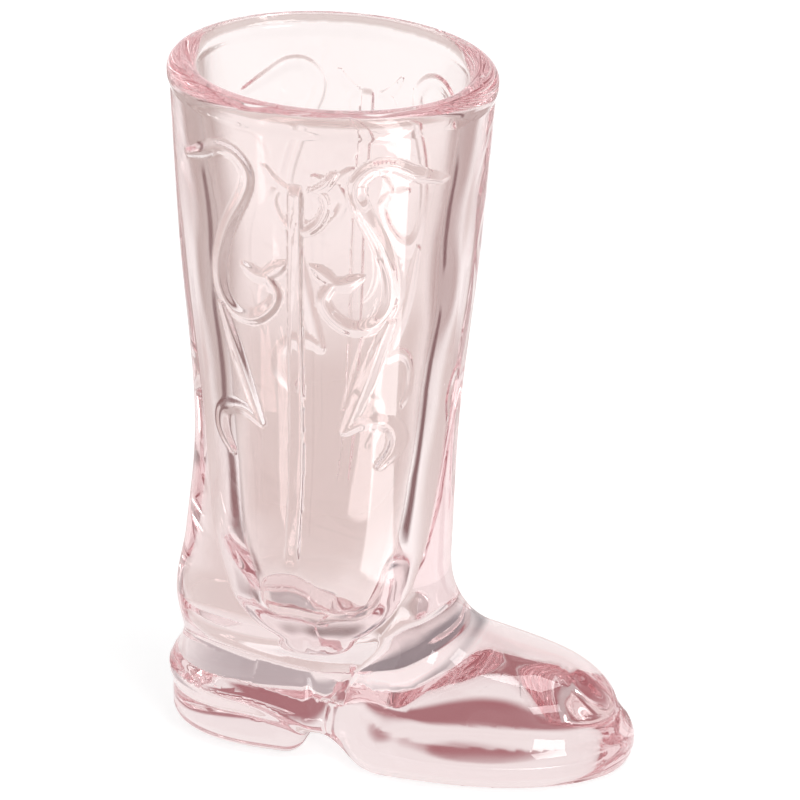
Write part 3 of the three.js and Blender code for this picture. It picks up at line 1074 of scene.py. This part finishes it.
@dataclass
class Studio:
    """The white floor and room, the soft boxes, the cards and the camera."""

    azimuth: float = 17.0
    elevation: float = 25.8
    away: float = 1500.0
    aim: Point = (-10.05, 0.0, 51.0)
    aim_right: float = 9.36
    aim_up: float = -0.69
    lens: float = 488.0
    sensor: float = 36.0
    sight: Point = (0.1, 20.0)
    lamp_aim: Point = (0.0, 0.0, 0.05)
    floor_size: float = 6.0
    floor_gap: float = 0.0001
    floor_glow: float = 0.72
    floor_white: float = 0.64
    room: float = 0.4
    band: tuple[Point, ...] = ((0.44, 0.0), (0.6, 1.0), (0.73, 1.0), (0.81, 0.0))
    dusk: Point = (0.43, 0.19, 0.21)
    glass_bounces: int = 32
    glossy_bounces: int = 24

    @staticmethod
    def towards(azimuth: float, elevation: float) -> Vector:
        """Gives the direction from the boot to a place round it, in degrees."""
        a, e = math.radians(azimuth), math.radians(elevation)
        return Vector((math.sin(a) * math.cos(e), -math.cos(a) * math.cos(e), math.sin(e)))

    def camera(self) -> None:
        """Sets the camera at the photograph's viewing angle."""
        data = bpy.data.cameras.new("camera")
        data.lens = self.lens
        data.sensor_width = self.sensor
        data.clip_start, data.clip_end = self.sight
        made = bpy.data.objects.new("camera", data)
        bpy.context.scene.collection.objects.link(made)
        back = self.towards(self.azimuth, self.elevation)
        turn = (-back).to_track_quat("-Z", "Y")
        right = turn @ Vector((1, 0, 0))
        up = turn @ Vector((0, 1, 0))
        aim = Vector(self.aim) + right * self.aim_right + up * self.aim_up
        made.rotation_mode = "QUATERNION"
        made.rotation_quaternion = turn
        made.location = (aim + back * self.away) * MM
        bpy.context.scene.camera = made

    def shown(self, tree: bpy.types.NodeTree) -> bpy.types.NodeSocket:
        """Makes a number that is 1 for rays from the camera, a reflection or the glass.

        Args:
            tree: The nodes to add it to.

        Returns:
            The socket with that number.
        """
        path = tree.nodes.new("ShaderNodeLightPath")
        last = path.outputs["Is Camera Ray"]
        for name in ("Is Glossy Ray", "Is Transmission Ray"):
            most = tree.nodes.new("ShaderNodeMath")
            most.operation = "MAXIMUM"
            tree.links.new(last, most.inputs[0])
            tree.links.new(path.outputs[name], most.inputs[1])
            last = most.outputs[0]
        return last

    def floor(self) -> None:
        """Lays the white floor, which keeps the boot's faint shadow."""
        half = self.floor_size / 2
        mesh = bpy.data.meshes.new("floor")
        corners = [(-half, -half), (half, -half), (half, half), (-half, half)]
        mesh.from_pydata([(x, y, -self.floor_gap) for x, y in corners], [], [(0, 1, 2, 3)])
        made = bpy.data.objects.new("floor", mesh)
        bpy.context.scene.collection.objects.link(made)
        white = bpy.data.materials.new("white_floor")
        white.use_nodes = True
        tree = white.node_tree
        tree.nodes.clear()
        out = tree.nodes.new("ShaderNodeOutputMaterial")
        plain = tree.nodes.new("ShaderNodeBsdfDiffuse")
        plain.inputs["Color"].default_value = (self.floor_white,) * 3 + (1.0,)
        glow = tree.nodes.new("ShaderNodeEmission")
        both = tree.nodes.new("ShaderNodeAddShader")
        share = tree.nodes.new("ShaderNodeMath")
        share.operation = "MULTIPLY"
        share.inputs[1].default_value = self.floor_glow
        tree.links.new(self.shown(tree), share.inputs[0])
        tree.links.new(share.outputs[0], glow.inputs["Strength"])
        tree.links.new(plain.outputs[0], both.inputs[0])
        tree.links.new(glow.outputs[0], both.inputs[1])
        tree.links.new(both.outputs[0], out.inputs["Surface"])
        mesh.materials.append(white)

    def world(self) -> None:
        """Makes the room white, with a dusky band high up that shows in the foot."""
        made = bpy.data.worlds.new("room")
        made.use_nodes = True
        tree = made.node_tree
        room = tree.nodes["Background"]
        level = tree.nodes.new("ShaderNodeMapRange")
        level.inputs["To Min"].default_value = self.room
        level.inputs["To Max"].default_value = 1.0
        way = tree.nodes.new("ShaderNodeTexCoord")
        parts = tree.nodes.new("ShaderNodeSeparateXYZ")
        band = tree.nodes.new("ShaderNodeValToRGB")
        band.color_ramp.interpolation = "EASE"
        stops = band.color_ramp.elements
        while len(stops) < len(self.band):
            stops.new(0.5)
        for stop, (height, share) in zip(stops, self.band):
            stop.position = height
            stop.color = (share, share, share, 1.0)
        paint = tree.nodes.new("ShaderNodeMix")
        paint.data_type = "RGBA"
        paint.inputs["A"].default_value = (1.0, 1.0, 1.0, 1.0)
        paint.inputs["B"].default_value = (*self.dusk, 1.0)
        shown = self.shown(tree)
        share = tree.nodes.new("ShaderNodeMath")
        share.operation = "MULTIPLY"
        tree.links.new(way.outputs["Generated"], parts.inputs["Vector"])
        tree.links.new(parts.outputs["Z"], band.inputs["Fac"])
        tree.links.new(band.outputs["Color"], share.inputs[0])
        tree.links.new(shown, share.inputs[1])
        tree.links.new(share.outputs[0], paint.inputs["Factor"])
        tree.links.new(paint.outputs["Result"], room.inputs["Color"])
        tree.links.new(shown, level.inputs["Value"])
        tree.links.new(level.outputs["Result"], room.inputs["Strength"])
        bpy.context.scene.world = made

    def lamps(self) -> None:
        """Hangs the soft boxes."""
        for lamp in Lamp:
            box = lamp.value
            data = bpy.data.lights.new(lamp.name.lower(), "AREA")
            data.shape = "RECTANGLE"
            data.size, data.size_y = box.width, box.height
            data.energy = box.bright * math.pi * box.width * box.height
            made = bpy.data.objects.new(data.name, data)
            bpy.context.scene.collection.objects.link(made)
            back = self.towards(box.azimuth, box.elevation)
            made.location = Vector(self.lamp_aim) + back * box.away
            made.rotation_mode = "QUATERNION"
            made.rotation_quaternion = (-back).to_track_quat("-Z", "Y")
            made.visible_transmission = False

    def cards(self) -> None:
        """Lays out the cards, which only the glass sees."""
        side = self.towards(self.azimuth + 90.0, 0.0)
        front = self.towards(self.azimuth, 0.0)
        corners = [(-1, -1), (1, -1), (1, 1), (-1, 1)]
        for card in Card:
            paper = card.value
            mesh = bpy.data.meshes.new("card_" + card.name.lower())
            places = [(x * paper.width / 2, y * paper.length / 2, 0.0) for x, y in corners]
            mesh.from_pydata(places, [], [(0, 1, 2, 3)])
            mesh.materials.append(paper.material(mesh.name))
            made = bpy.data.objects.new(mesh.name, mesh)
            bpy.context.scene.collection.objects.link(made)
            made.location = side * paper.right - front * paper.away + Vector((0.0, 0.0, paper.up))
            made.rotation_mode = "XYZ"
            lean, turn = math.radians(90.0 - paper.tilt), math.radians(self.azimuth + paper.turn)
            made.rotation_euler = (lean, 0.0, turn)
            made.visible_camera = False
            made.visible_shadow = False
            made.visible_diffuse = False

    def look(self) -> None:
        """Sets plain colours and lets light pass many glass faces."""
        scene = bpy.context.scene
        scene.view_settings.view_transform = "Standard"
        scene.cycles.max_bounces = self.glass_bounces
        scene.cycles.transmission_bounces = self.glass_bounces
        scene.cycles.glossy_bounces = self.glossy_bounces


def main() -> None:
    """Builds the glass and the studio."""
    logging.basicConfig(level=logging.INFO, format="%(message)s")
    studio = Studio()
    studio.camera()
    studio.floor()
    studio.world()
    studio.lamps()
    studio.cards()
    studio.look()
    boot = BootGlass()
    piece = boot.build()
    boot.dress(piece)
    LOG.info("%s: %d faces", piece.name, len(piece.data.polygons))


if __name__ == "__main__":
    main()
